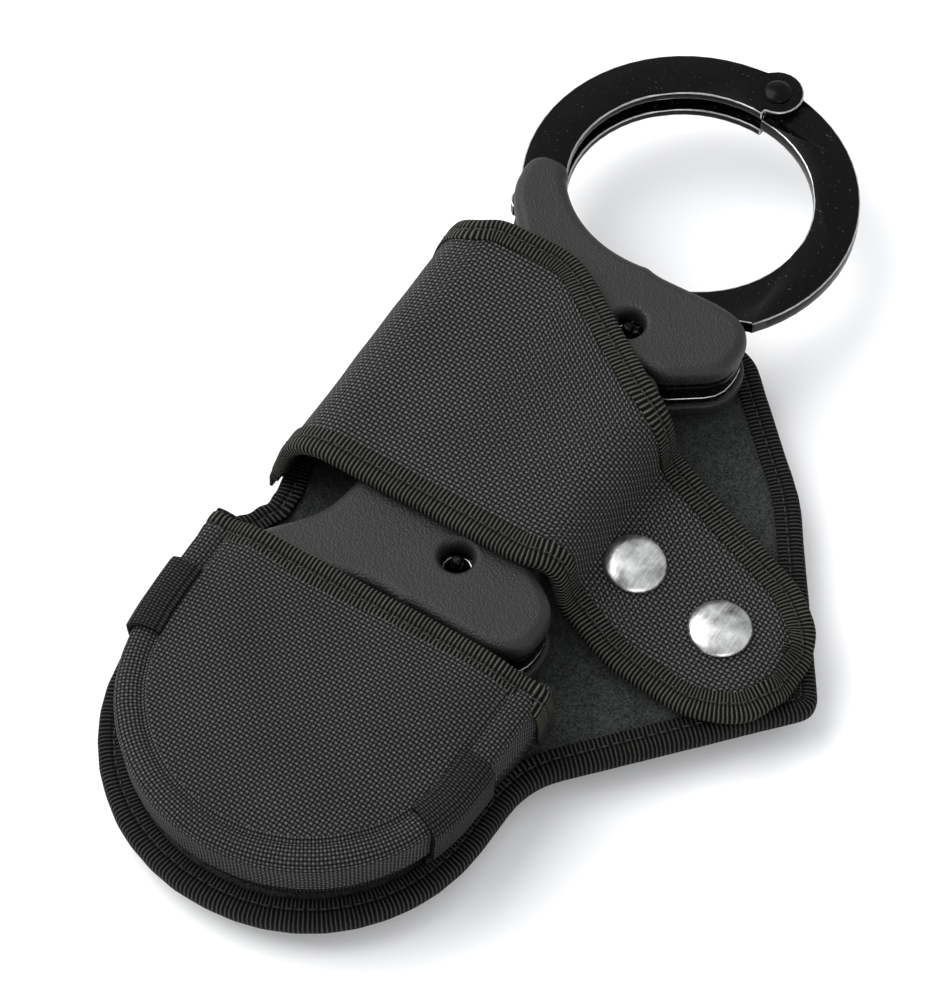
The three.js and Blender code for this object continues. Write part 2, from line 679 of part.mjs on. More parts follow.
// The flap's under side, from the hinge over the cuffs and down to the strap tab, as [x, z].
const flapPath = [
  [HINGE_X + FLAP_T, HINGE_Z],
  [-40.3, HINGE_Z + 8],
  [-38.8, FLAP_UNDER - 6.7],
  [-35.6, FLAP_UNDER - 2.3],
  [-30.5, FLAP_UNDER],
  [COVER_TOE_X + 1.5, FLAP_UNDER],
  [COVER_TOE_X + 5.6, FLAP_UNDER - 3],
  [COVER_TOE_X + 7, FLAP_UNDER - 8.7],
  [COVER_TOE_X + 7.2, PANEL_TOP + 8.35],
  [COVER_TOE_X + 8.1, PANEL_TOP + 6.15],
  [52, PANEL_TOP + 2.95],
  [88, PANEL_TOP + 2.35],
];
const flapCorners = [
  [-52, -31.6, 0],
  [23, -32, 6],
  [COVER_TOE_X + 7.8, -28.2, 8],
  [46, -34.3, 12],
  [68, -36.2, 16],
  [84.8, -29, 15],
  [84.8, -4.5, 14],
  [73, 5, 12],
  [52, 12.6, 40],
  [24.5, 22, 30],
  [-9, 44.5, 16],
  [-30, 43.6, 4],
  [-36, 39, 6],
  [-52, 38.5, 0],
];

// A band that follows the flap's path, between two distances above its under side.
function flapBand(low, high) {
  const side = (d) => {
    const n = flapPath.length;
    return flapPath.map(([x, z], i) => {
      const [px, pz] = flapPath[Math.max(i - 1, 0)];
      const [nx, nz] = flapPath[Math.min(i + 1, n - 1)];
      const a = [x - px, z - pz];
      const b = [nx - x, nz - z];
      const la = Math.hypot(...a) || Math.hypot(...b);
      const lb = Math.hypot(...b) || la;
      const na = i ? [-a[1] / la, a[0] / la] : [-b[1] / lb, b[0] / lb];
      const nb = i < n - 1 ? [-b[1] / lb, b[0] / lb] : na;
      const k = d / (1 + na[0] * nb[0] + na[1] * nb[1]);
      return [x + k * (na[0] + nb[0]), z + k * (na[1] + nb[1])];
    });
  };
  const g = plate([...side(low), ...side(high).reverse()], -60, 60);
  // drawn in X and Z, so the extrusion runs along Y
  return g.applyMatrix4(new THREE.Matrix4().set(1, 0, 0, 0, 0, 0, -1, 0, 0, 1, 0, 0, 0, 0, 0, 1));
}

const flapPlan = (grow) => plate(outline(flapCorners, grow, 12), 0, 60);
function flap() {
  const cloth = common(flapBand(0, FLAP_T), flapPlan(0));
  return cut(cloth, ...SNAPS.map((s) => pin(s.x, s.y, 2.4, 0, 60)));
}
add(root, "flap", flap(), looks.nylon);

function flapBinding() {
  const foot = box(-60, 100, -60, 60, HINGE_Z + 1.2, 60);
  const around = common(flapBand(-TAPE_T, FLAP_T + TAPE_T), flapPlan(TAPE_T + SEAT));
  const open = flapCorners.map(([x, y, r]) => [x < -48 ? -60 : x, y, r]); // no tape along the hinge
  const inner = plate(outline(open, -TAPE_W, 12), -1, 61);
  const core = common(flapBand(-SEAT, FLAP_T + SEAT), flapPlan(SEAT));
  return common(cut(around, inner, core), foot);
}
add(root, "flap_binding", flapBinding(), looks.tape);

// ---- Pouch: press studs ----
// Cap and socket clench the flap between them and lean with it; the stud stands on the lining.
function snapCap() {
  const top = FLAP_T + SEAT;
  return turned([
    [0, -0.2],
    [1.9, -0.2],
    [1.9, top],
    [SNAP_R - 0.4, top],
    [SNAP_R, top + 0.5],
    [SNAP_R - 0.6, top + 1.25],
    [SNAP_R - 2.6, top + 1.85],
    [0, top + 2.2],
  ], 24);
}

function snapSocket() {
  return turned([
    [2.6, -1.35],
    [4.6, -1.35],
    [5.4, -0.35],
    [2.6, -0.35],
    [2.6, -1.35],
  ], 16);
}

function snapStud(top) {
  return turned([
    [0, 0],
    [5, 0],
    [5, 0.6],
    [1.7, 0.9],
    [1.9, top - 0.4],
    [1.4, top],
    [0, top],
  ]);
}

for (const { name, x, y } of SNAPS) {
  const i = flapPath.findIndex(([px]) => px > x);
  const [[x0, z0], [x1, z1]] = [flapPath[i - 1], flapPath[i]];
  const under = z0 + ((z1 - z0) * (x - x0)) / (x1 - x0);
  const seat = new THREE.Group();
  seat.position.set(x, y, under);
  seat.rotation.y = -Math.atan2(z1 - z0, x1 - x0);
  root.add(seat);
  add(seat, `snap_cap_${name}`, snapCap(), looks.snap);
  add(seat, `snap_socket_${name}`, snapSocket(), looks.snap);
  const foot = PANEL_TOP + SEAT;
  add(root, `snap_stud_${name}`, snapStud(under - 0.75 - foot), looks.snap).position.set(x, y, foot);
}

export default root;
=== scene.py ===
# %% [markdown]
# # Rigid handcuffs in a belt pouch
# A pair of steel cuffs joined by a solid grip sits in a ballistic-nylon pouch. The steel, the locks and the
# rivets come from the engineering model, which is loaded here as a frame that never moves. The fabric and
# the moulded covers are remade, because their look depends on soft edges, folds and threads.

# %% Load the frame
import json
import math
from contextlib import contextmanager

import bmesh
import bpy
import numpy as np
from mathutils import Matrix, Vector, noise
from mathutils.bvhtree import BVHTree
from mathutils.geometry import delaunay_2d_cdt

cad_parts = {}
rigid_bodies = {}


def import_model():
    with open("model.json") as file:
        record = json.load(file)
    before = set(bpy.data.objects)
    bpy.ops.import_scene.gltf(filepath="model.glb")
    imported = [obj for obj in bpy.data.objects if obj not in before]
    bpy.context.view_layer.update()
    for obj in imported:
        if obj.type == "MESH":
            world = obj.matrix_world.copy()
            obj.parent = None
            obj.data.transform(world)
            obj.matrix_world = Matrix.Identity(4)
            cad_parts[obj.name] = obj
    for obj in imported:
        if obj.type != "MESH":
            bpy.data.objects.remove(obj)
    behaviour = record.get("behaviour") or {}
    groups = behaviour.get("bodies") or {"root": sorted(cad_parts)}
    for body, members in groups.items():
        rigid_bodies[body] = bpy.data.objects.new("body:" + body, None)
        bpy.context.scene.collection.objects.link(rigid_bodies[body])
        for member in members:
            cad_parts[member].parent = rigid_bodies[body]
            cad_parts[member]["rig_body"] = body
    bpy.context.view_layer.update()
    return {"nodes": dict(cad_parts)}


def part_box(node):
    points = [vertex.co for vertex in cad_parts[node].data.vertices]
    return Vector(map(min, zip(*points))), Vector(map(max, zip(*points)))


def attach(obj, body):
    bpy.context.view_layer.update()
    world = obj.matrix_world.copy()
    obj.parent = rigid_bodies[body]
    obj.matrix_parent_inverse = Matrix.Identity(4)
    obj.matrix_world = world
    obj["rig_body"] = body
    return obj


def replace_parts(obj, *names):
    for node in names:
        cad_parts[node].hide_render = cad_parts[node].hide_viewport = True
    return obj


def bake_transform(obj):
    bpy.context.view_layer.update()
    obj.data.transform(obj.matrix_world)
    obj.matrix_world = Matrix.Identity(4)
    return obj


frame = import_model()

MM = 0.001
CLOTH_SCALE = 10  # units of the cloth map in a metre

# %% [markdown]
# ## Camera
# A long lens far away keeps the two rings almost the same size. The camera looks down steeply across the
# pouch, and it is aimed by its direction angles, so no rotation has to be guessed.

# %% Place the camera
azimuth = math.radians(32.01)
elevation = math.radians(58)
away = Vector((
    math.sin(azimuth) * math.cos(elevation),
    -math.cos(azimuth) * math.cos(elevation),
    math.sin(elevation),
))
aim = Vector((-0.8, -15.6, 18)) * MM
camera = bpy.data.objects.new("camera", bpy.data.cameras.new("camera"))
bpy.context.scene.collection.objects.link(camera)
camera.location = aim + away
camera.rotation_mode = "QUATERNION"
camera.rotation_quaternion = (-away).to_track_quat("-Z", "Y")
camera.data.sensor_width = 36
camera.data.lens = 158.4
camera.data.clip_start = 0.05
bpy.context.scene.camera = camera
print("camera at, mm:", [round(x / MM) for x in camera.location])

# %% [markdown]
# ## Light
# A pale room with two square soft lights. The large main light stands to the left, away from where a flat face
# would mirror it into the lens, so blackened steel stays black. A smaller, weaker light low in front brightens
# the lower edge of every dome and rounded end.

# %% Set up the room and the lights
bpy.context.scene.view_settings.view_transform = "Standard"
room = bpy.data.worlds.new("room")
bpy.context.scene.world = room
room.use_nodes = True
background = room.node_tree.nodes["Background"]
background.inputs["Color"].default_value = (0.97, 0.98, 1, 1)
background.inputs["Strength"].default_value = 0.8

right = Vector((math.cos(azimuth), math.sin(azimuth), 0))
ahead = Vector((-math.sin(azimuth), math.cos(azimuth), 0))


def soft_light(name, place, size, watts):
    """A square light, size metres wide, that faces the pouch from a place given from the aim."""
    lamp = bpy.data.lights.new(name, "AREA")
    lamp.size = size
    lamp.energy = watts
    holder = bpy.data.objects.new(name, lamp)
    bpy.context.scene.collection.objects.link(holder)
    holder.location = aim + place
    holder.rotation_mode = "QUATERNION"
    holder.rotation_quaternion = (-place).to_track_quat("-Z", "Y")


soft_light("main_light", -0.62 * right + 0.28 * ahead + Vector((0, 0, 0.85)), size=1.1, watts=15)
soft_light("front_light", 0.25 * right - 0.95 * ahead + Vector((0, 0, 0.42)), size=0.5, watts=2.5)

# %% [markdown]
# ## Sums on shader sockets
# Patterns such as a weave are sums of waves. Writing them as Python expressions is far clearer than wiring
# nodes by hand, so one small class wraps a socket, and each operator adds the Math node that it stands for.

# %% A socket that can be used in sums


class Signal:
    """A shader value: operators on it add Math nodes."""

    def __init__(self, tree, socket):
        self.tree = tree
        self.socket = socket

    def math(self, operation, *values):
        node = self.tree.nodes.new("ShaderNodeMath")
        node.operation = operation
        for slot, value in zip(node.inputs, values):
            if isinstance(value, Signal):
                self.tree.links.new(value.socket, slot)
            else:
                slot.default_value = value
        return Signal(self.tree, node.outputs[0])

    def __add__(self, other):
        return self.math("ADD", self, other)

    def __sub__(self, other):
        return self.math("SUBTRACT", self, other)

    def __mul__(self, other):
        return self.math("MULTIPLY", self, other)

    def __truediv__(self, other):
        return self.math("DIVIDE", self, other)

    def __pow__(self, other):
        return self.math("POWER", self, other)

    def __radd__(self, other):
        return self.math("ADD", other, self)

    def __rsub__(self, other):
        return self.math("SUBTRACT", other, self)

    def __rmul__(self, other):
        return self.math("MULTIPLY", other, self)

    def __abs__(self):
        return self.math("ABSOLUTE", self)

    def floor(self):
        return self.math("FLOOR", self)

    def frac(self):
        return self.math("FRACT", self)

    def cos(self):
        return self.math("COSINE", self)

    def least(self, other):
        return self.math("MINIMUM", self, other)


print("sums ready")

# %% [markdown]
# ## Finishes
# Each material is a Finish: a Principled shader whose fixed numbers are set on its own sockets, and one
# method that adds any other node. Woven and ribbed patterns are drawn from a map named cloth, which those pieces
# carry and which is laid out in tenths of a metre: a whole unit is 100 mm of cloth.

# %% The Finish class


class Finish:
    """A procedural material on a Principled shader."""

    def __init__(self, name, **fixed):
        self.material = bpy.data.materials.new(name)
        self.material.use_nodes = True
        self.tree = self.material.node_tree
        self.shader = self.tree.nodes["Principled BSDF"]
        for socket, value in fixed.items():
            self.shader.inputs[socket.replace("_", " ")].default_value = value

    def node(self, kind, settings, values, output=0):
        """Adds a node: its settings first, then the values or links of its sockets."""
        made = self.tree.nodes.new(kind)
        stops = settings.pop("stops", None)
        for setting, value in settings.items():
            setattr(made, setting, value)
        for i, (place, grey) in enumerate(stops or []):
            stop = made.color_ramp.elements[i] if i < 2 else made.color_ramp.elements.new(place)
            stop.position = place
            stop.color = (grey, grey, grey, 1)
        for socket, value in values.items():
            if isinstance(value, Signal):
                self.tree.links.new(value.socket, made.inputs[socket])
            else:
                made.inputs[socket].default_value = value
        return Signal(self.tree, made.outputs[output])

    def place(self):
        """Where a point is on the piece, in metres."""
        return self.node("ShaderNodeTexCoord", {}, {}, "Object")

    def cloth(self):
        """The two directions of the cloth, in millimetres."""
        flat = self.node("ShaderNodeUVMap", {"uv_map": "cloth"}, {})
        across = self.node("ShaderNodeSeparateXYZ", {}, {0: flat}, 0)
        along = self.node("ShaderNodeSeparateXYZ", {}, {0: flat}, 1)
        unit_mm = 1 / (CLOTH_SCALE * MM)
        return across * unit_mm, along * unit_mm

    def speckle(self, size, detail=2.0, roughness=0.5):
        """Noise whose features are about size millimetres wide."""
        values = {"Vector": self.place(), "Scale": 1000 / size, "Detail": detail, "Roughness": roughness}
        return self.node("ShaderNodeTexNoise", {}, values)

    def ramp(self, value, *stops):
        """A value between 0 and 1 turned into a grey by stops."""
        return self.node("ShaderNodeValToRGB", {"stops": stops}, {0: value})

    def blend(self, share, first, second):
        """A colour between first and second."""
        return self.node("ShaderNodeMix", {"data_type": "RGBA"}, {0: share, 6: first, 7: second}, 2)

    def wear(self, **links):
        """Links signals to the shader's sockets."""
        for socket, value in links.items():
            self.tree.links.new(value.socket, self.shader.inputs[socket.replace("_", " ")])
        return self

    def relief(self, height, depth, strength=1.0):
        """Bumps of the given depth in millimetres where height goes from 0 to 1."""
        values = {"Height": height, "Distance": depth * MM, "Strength": strength}
        return self.wear(Normal=self.node("ShaderNodeBump", {}, values))


def grey(value, green=0.0):
    """A neutral colour; green above 0 takes red and blue out of it, which leaves an olive cast."""
    return (value * (1 - green * 0.3), value, value * (1 - green), 1)


print("finishes can be made")

# %% [markdown]
# ### Blackened steel
# The rings are black-oxide steel: almost no colour, little sheen, and tiny pale specks where dust and wear show.
# The stamped blanks have a narrow polished edge, which gets its own bright finish on the bevelled rim.

# %% Steel finishes
black_steel = Finish("black_oxide_steel", Specular_IOR_Level=0.1)
fine = black_steel.speckle(0.7, 3)
dust = black_steel.ramp(fine, (0.675, 0), (0.72, 1))
smudge = black_steel.speckle(14, 4)
black_steel.wear(
    Base_Color=black_steel.blend(dust * 0.35, (0.0015, 0.0015, 0.0016, 1), (0.12, 0.12, 0.115, 1)),
    Roughness=0.16 + smudge * 0.2 + dust * 0.2,
)
black_steel.relief(fine, 0.012, 0.5)



def bare(name, size, dark, pale, polish, spread):
    """Bare steel, mottled at size millimetres between two greys; its roughness starts at polish."""
    steel = Finish(name, Metallic=1.0)
    mottle = steel.speckle(size, 4)
    return steel.wear(
        Base_Color=steel.blend(mottle, (dark, dark, dark + 0.01, 1), (pale, pale, pale + 0.02, 1)),
        Roughness=polish + mottle * spread,
    )


edge_steel = bare("polished_steel_edge", size=1.6, dark=0.22, pale=0.62, polish=0.2, spread=0.22)
bright_steel = bare("bare_spring_steel", size=0.9, dark=0.25, pale=0.55, polish=0.24, spread=0.2)
print("steel:", black_steel.material.name, edge_steel.material.name, bright_steel.material.name)

# %% [markdown]
# ### Moulded polymer
# The covers and the grip are moulded in a tool with a leather grain: shallow pebbles about half a millimetre
# wide. Cells from a Voronoi texture make the pebbles, and softer noise keeps them from looking regular.

# %% Polymer finish
polymer = Finish("grained_polymer", Specular_IOR_Level=0.36)
cells = {"Vector": polymer.place(), "Scale": 1900, "Smoothness": 0.6}
pebbles = polymer.node("ShaderNodeTexVoronoi", {"feature": "SMOOTH_F1"}, cells)
grain = pebbles * 0.65 + polymer.speckle(0.36, 3) * 0.6
bloom = polymer.speckle(16, 3)
polymer.wear(
    Base_Color=polymer.blend(
        bloom * 0.5 + grain * 0.5, (0.001, 0.001, 0.001, 1), (0.0155, 0.0159, 0.0153, 1)),
    Roughness=0.38 + grain * 0.16 + bloom * 0.08,
)
polymer.relief(grain, 0.22, 0.9)
print("polymer:", polymer.material.name)

# %% [markdown]
# ### Ballistic nylon
# Thick yarns cross one over one. In every second square the yarn along the cloth is on top, and in the others
# the yarn across it. Each visible piece of yarn is a small pill, so its height is a rounded ridge one way and
# a gentle hump the other way. The colour falls with the height, a painted shade, so the gaps are nearly black.

# %% Woven finishes


def woven(name, pitch, dark, pale, depth):
    """A plain weave of thick yarns, pitch millimetres apart, whose bumps are depth millimetres high; its gaps get
    painted shade.
    """
    cloth = Finish(name, Specular_IOR_Level=0.07)
    across, along = cloth.cloth()
    sway = (cloth.speckle(9, 2) - 0.5) * 0.5
    a = (across + sway) / pitch
    b = (along + sway) / pitch
    on_top = ((a.floor() + b.floor()) * 0.5).frac() * 2
    x = (a.frac() - 0.5) * math.pi
    y = (b.frac() - 0.5) * math.pi
    ridge_along = x.cos() ** 0.7 * (0.45 + 0.55 * y.cos())
    ridge_across = y.cos() ** 0.7 * (0.45 + 0.55 * x.cos())
    height = on_top * ridge_across + (1 - on_top) * ridge_along
    strands = on_top * (y * 5).cos() + (1 - on_top) * (x * 5).cos()
    fuzz = cloth.speckle(0.35, 2)
    worn = cloth.speckle(23, 3)
    # painted shade: the colour darkens as the yarn's height falls, darkest in the gaps between pills
    tone_with_painted_shade = height ** 2.6 * (0.6 + 0.4 * on_top) * (0.7 + 0.6 * fuzz) * (0.75 + 0.5 * worn)
    cloth.wear(
        Base_Color=cloth.blend(tone_with_painted_shade.least(1.0), grey(dark), grey(pale)),
        Roughness=0.52 + 0.3 * (1 - height) + 0.1 * fuzz,
    )
    return cloth.relief(height + strands * 0.05 + fuzz * 0.12, depth, 0.9)


nylon = woven("ballistic_weave", pitch=1.02, dark=0.0004, pale=0.135, depth=0.46)
fine_nylon = woven("pocket_weave", pitch=0.92, dark=0.0004, pale=0.115, depth=0.38)
webbing = woven("tab_webbing", pitch=0.72, dark=0.0005, pale=0.05, depth=0.24)
print("woven:", [f.material.name for f in (nylon, fine_nylon, webbing)])

# %% [markdown]
# ### Grosgrain tape
# Every raw edge is wrapped in ribbed tape. The ribs run across the tape, about one each millimetre, and a seam
# runs along it, where the stitches pull the tape down. The map's first direction runs along the tape and the
# second starts at the folded edge, so ribs and seam follow any curve.

# %% Tape finish
RIB_PITCH = 1.02
SEAM_BACK = 3.1  # how far the seam is from the folded edge, in millimetres


def ribbed(name, dark, pale, green):
    """Grosgrain: rounded ribs across the tape and a pressed line under the stitches, both with painted shade in
    their colour.
    """
    tape = Finish(name, Specular_IOR_Level=0.07)
    along, across = tape.cloth()
    sway = (tape.speckle(5, 2) - 0.5) * 0.55
    ribs = 1 - abs(((along + sway) * (math.pi / RIB_PITCH)).cos()) ** 0.75
    twist = (across * 9 + along * 2).cos() * 0.5 + 0.5
    seam = 1 - (abs(abs(across) - SEAM_BACK) / 0.42).least(1.0)
    fuzz = tape.speckle(0.3, 2)
    worn = tape.speckle(11, 3)
    # painted shade: the colour darkens between the ribs and along the seam's pressed line
    tone_with_painted_shade = (ribs ** 1.9) * (1 - seam * 0.75) * (0.62 + 0.3 * fuzz + 0.2 * twist) * (0.7 + 0.6 * worn)
    tape.wear(
        Base_Color=tape.blend(tone_with_painted_shade.least(1.0), grey(dark, green), grey(pale, green)),
        Roughness=0.5 + 0.3 * (1 - ribs) + 0.1 * fuzz,
    )
    return tape.relief(ribs * (1 - seam * 0.6) + twist * 0.08 + fuzz * 0.1, 0.36, 0.95)


tape = ribbed("grosgrain_tape", dark=0.0004, pale=0.19, green=0.2)
dark_tape = ribbed("grosgrain_edge_tape", dark=0.0004, pale=0.1, green=0.12)
print("tape:", tape.material.name, dark_tape.material.name)

# %% [markdown]
# ### Felt, thread and snap metal
# The lining is a short brushed felt, nearly black with a faint green cast: noise at two sizes and hardly any
# gloss. The thread is twisted and slightly shiny. The snaps are gunmetal with fine scratches, and their colour
# is painted brighter in large patches, a painted reflection.

# %% Felt, thread and snap finishes
felt = Finish("brushed_felt", Specular_IOR_Level=0.08, Sheen_Weight=0.03, Sheen_Roughness=0.6)
hairs = felt.speckle(0.42, 4, 0.7)
clumps = felt.speckle(3.2, 4, 0.6)
lint = felt.ramp(hairs * 0.85 + clumps * 0.15, (0.36, 0), (0.72, 1))
felt.wear(
    Base_Color=felt.blend(lint, (0.0008, 0.001, 0.0009, 1), (0.062, 0.067, 0.064, 1)),
    Roughness=0.85 + hairs * 0.15,
)
felt.relief(hairs * 0.6 + clumps * 0.4, 0.3, 0.8)

thread = Finish("bonded_thread", Specular_IOR_Level=0.45)
ply = thread.speckle(0.25, 3)
thread.wear(
    Base_Color=thread.blend(ply, (0.002, 0.002, 0.002, 1), (0.013, 0.0135, 0.012, 1)),
    Roughness=0.42 + 0.2 * ply,
)
thread.relief(ply, 0.05, 0.6)

gunmetal = Finish("gunmetal_painted_reflection", Metallic=1.0)
patch_noise = gunmetal.speckle(6, 5, 0.6)
pits = gunmetal.speckle(0.5, 3)
stretch = gunmetal.node("ShaderNodeMapping", {}, {"Vector": gunmetal.place(), "Scale": (2400, 160, 400)})
scratch = gunmetal.node("ShaderNodeTexNoise", {}, {"Vector": stretch, "Scale": 1.0, "Detail": 3.0})
# painted reflection: large noise patches, with some scratches, lift the base colour from dark grey to near white
painted_reflection_and_scratches = gunmetal.ramp(patch_noise * 0.75 + scratch * 0.25, (0.3, 0), (0.64, 1))
gunmetal.wear(
    Base_Color=gunmetal.blend(painted_reflection_and_scratches, (0.1, 0.1, 0.105, 1), (0.78, 0.78, 0.77, 1)),
    Roughness=0.2 + 0.16 * patch_noise + 0.1 * scratch,
)
gunmetal.relief(scratch * 0.6 + pits * 0.4, 0.03, 0.5)
print("felt, thread and snap finishes made")

# %% [markdown]
# ## Steel, locks and fasteners
# These pieces are right as they come from the frame. Each is welded and given a narrow bevel by modifiers, which
# catches the light as a broken edge does. On the rings the bevel's faces take a second finish, so that the plates
# get a bright rim.

# %% Finish the hard pieces
SAME_SPOT = 2e-6  # corners nearer than this, in metres, are one corner


def weld(piece):
    """Joins the corners that lie on the same spot."""
    piece.modifiers.new("weld", "WELD").merge_threshold = SAME_SPOT


def finish_node(name, look, bevel, rim=None):
    """Gives a frame node its finish and edges broken by bevel millimetres."""
    piece = frame["nodes"][name]
    piece.data.materials.clear()
    piece.data.materials.append(look.material)
    if rim:
        piece.data.materials.append(rim.material)
    weld(piece)
    edge = piece.modifiers.new("broken_edge", "BEVEL")
    edge.width = bevel * MM
    edge.segments = 2
    edge.limit_method = "ANGLE"
    edge.angle_limit = math.radians(38)
    edge.use_clamp_overlap = False
    edge.miter_outer = "MITER_ARC"
    if rim:
        edge.material = 1
    for face in piece.data.polygons:
        face.use_smooth = True


for end in ("upper", "lower"):
    for side in ("front", "rear"):
        finish_node(f"{end}_{side}_cheek", black_steel, 0.32, edge_steel)
    finish_node(f"{end}_strand", black_steel, 0.28, edge_steel)
    finish_node(f"{end}_pivot_rivet", black_steel, 0.35)
    finish_node(f"{end}_lock_body", black_steel, 0.15)
    finish_node(f"{end}_key_post", black_steel, 0.08)
    for name in ("pawl", "pawl_pin", "pawl_spring", "lock_bar"):
        finish_node(f"{end}_{name}", bright_steel, 0.08)
    finish_node(f"grip_screw_{end}", bright_steel, 0.2)
finish_node("link_bar", black_steel, 0.2)
for number in range(1, 5):
    finish_node(f"link_rivet_{number}", bright_steel, 0.2)
for place in ("inner", "outer"):
    finish_node(f"snap_cap_{place}", gunmetal, 0.2)
    finish_node(f"snap_socket_{place}", gunmetal, 0.1)
    finish_node(f"snap_stud_{place}", gunmetal, 0.1)
print("frame nodes finished:", sum(1 for o in frame["nodes"].values() if o.modifiers))

# %% [markdown]
# ## Lines taken from the frame
# The fabric has to fit the engineering model, so every outline is read from it: a plane cuts a node and the
# cut's edges are chained into closed lines. If the model changes, the cloth follows it.

# %% Cut a node and walk along a line


def cut_lines(node, point, normal):
    """The closed lines where a plane cuts a frame node, longest first."""
    made = bmesh.new()
    made.from_mesh(frame["nodes"][node].data)
    bmesh.ops.remove_doubles(made, verts=made.verts, dist=SAME_SPOT)
    everything = made.verts[:] + made.edges[:] + made.faces[:]
    halves = bmesh.ops.bisect_plane(made, geom=everything, dist=1e-7, plane_co=point, plane_no=normal)
    near = {}
    for edge in (e for e in halves["geom_cut"] if isinstance(e, bmesh.types.BMEdge)):
        first, second = edge.verts
        near.setdefault(first, []).append(second)
        near.setdefault(second, []).append(first)
    lines = []
    while near:
        line = [next(iter(near))]
        while near.get(line[-1]):
            step = near[line[-1]].pop()
            near[step].remove(line[-1])
            line.append(step)
        near = {k: v for k, v in near.items() if v}
        lines.append(np.array([v.co[:] for v in line[:-1]]))
    made.free()
    return sorted(lines, key=len, reverse=True)


def distances(line):
    """How far along the line each of its points is."""
    return np.concatenate([[0], np.cumsum(np.linalg.norm(np.diff(line, axis=0), axis=1))])


def read_at(line, walked, places):
    """Points of a line at the given distances along it."""
    return np.stack([np.interp(places, walked, line[:, k]) for k in range(line.shape[1])], -1)


def unit(vectors, least=0.0):
    """The same directions, all of length 1."""
    return vectors / (np.linalg.norm(vectors, axis=-1, keepdims=True) + least)


def signed_area(line):
    """The area inside a flat closed line: above 0 if it runs counter-clockwise."""
    x, y = line.T
    return 0.5 * float(np.sum(x * np.roll(y, -1) - y * np.roll(x, -1)))


def evenly(line, gap, closed):
    """The same line with points about gap apart."""
    points = np.vstack([line, line[:1]]) if closed else np.asarray(line)
    walked = distances(points)
    count = max(4, round(walked[-1] / gap))
    at = np.linspace(0, walked[-1], count + 1)[: count if closed else None]
    return read_at(points, walked, at)


def eased(line, rounds, closed):
    """A line with its small corners smoothed away."""
    for _ in range(rounds):
        if closed:
            line = (np.roll(line, 1, 0) + 2 * line + np.roll(line, -1, 0)) / 4
        else:
            line[1:-1] = (line[:-2] + 2 * line[1:-1] + line[2:]) / 4
    return line


def outline(node, height, gap=1.2):
    """A node's outline at a height, counter-clockwise, with evenly spaced points."""
    line = cut_lines(node, (0, 0, height), (0, 0, 1))[0][:, :2]
    return evenly(line if signed_area(line) > 0 else line[::-1], gap * MM, True)


def outward(line, closed=True):
    """Unit directions that point out of a counter-clockwise flat line."""
    if closed:
        step = np.roll(line, -1, 0) - np.roll(line, 1, 0)
    else:
        step = np.gradient(line, axis=0)
    return unit(np.stack([step[:, 1], -step[:, 0]], 1))


panel_edge = outline("back_panel", sum(p.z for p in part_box("back_panel")) / 2)
print("panel outline:", len(panel_edge), "points")

# %% [markdown]
# ## Building cloth
# Two builders make nearly all the fabric. One lofts rows of points into a skin. The other fills a flat outline
# with even triangles, which suits boards, linings and the pocket's face. The cloth map is laid from real
# distances, so that the weave has the same scale everywhere.

# %% The two cloth builders


def add_piece(name, mesh, look, body):
    """Puts a mesh in the scene with a finish, a body to ride on, if it has only one."""
    for face in mesh.polygons:
        face.use_smooth = True
    mesh.materials.append(look.material)
    piece = bpy.data.objects.new(name, mesh)
    bpy.context.scene.collection.objects.link(piece)
    if body:
        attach(piece, body)
    return piece


def lay_cloth(mesh, spots):
    """Gives every face corner of the mesh its cloth position, in metres."""
    layer = mesh.uv_layers.new(name="cloth")
    layer.uv.foreach_set("vector", (np.asarray(spots) * CLOTH_SCALE).astype(np.float32).ravel())


@contextmanager
def edited(mesh):
    """The mesh as a bmesh, whose changes are written back at the end."""
    made = bmesh.new()
    made.from_mesh(mesh)
    yield made
    made.to_mesh(mesh)
    made.free()


def face_up(mesh):
    """Turns a skin's faces over if most of it faces down, and gives its area."""
    with edited(mesh) as made:
        if sum(f.normal.z for f in made.faces) < 0:
            bmesh.ops.reverse_faces(made, faces=made.faces)
        return sum(f.calc_area() for f in made.faces)


def thicken(piece, name, thickness, offset):
    """Gives a skin its thickness in millimetres: offset -1 inwards, 1 outwards, 0 both ways."""
    thick = piece.modifiers.new(name, "SOLIDIFY")
    thick.thickness = thickness * MM
    thick.offset = offset


def loft(name, rows, spots, look, body, ring=False, closed=False):
    """A skin through rows of points. ring joins each row's ends, closed joins the last row to the first.

    spots has each row's place along the cloth and its points' places across it.
    """
    rows = np.asarray(rows)
    count, size = rows.shape[:2]
    faces = []
    corners = []
    for i in range(count if closed else count - 1):
        for j in range(size if ring else size - 1):
            a, b = i, (i + 1) % count
            c, d = j, (j + 1) % size
            faces.append((a * size + c, a * size + d, b * size + d, b * size + c))
            along, across = spots[a]
            further = spots[i + 1][0] if i + 1 < len(spots) else 2 * along - spots[a - 1][0]
            beside = min(c + 1, len(across) - 1)
            corners += [(u, across[v]) for u, v in ((along, c), (along, beside), (further, beside), (further, c))]
    mesh = bpy.data.meshes.new(name)
    mesh.from_pydata(rows.reshape(-1, 3).tolist(), [], faces)
    lay_cloth(mesh, corners)
    with edited(mesh) as made:
        bmesh.ops.recalc_face_normals(made, faces=made.faces)
    return add_piece(name, mesh, look, body)


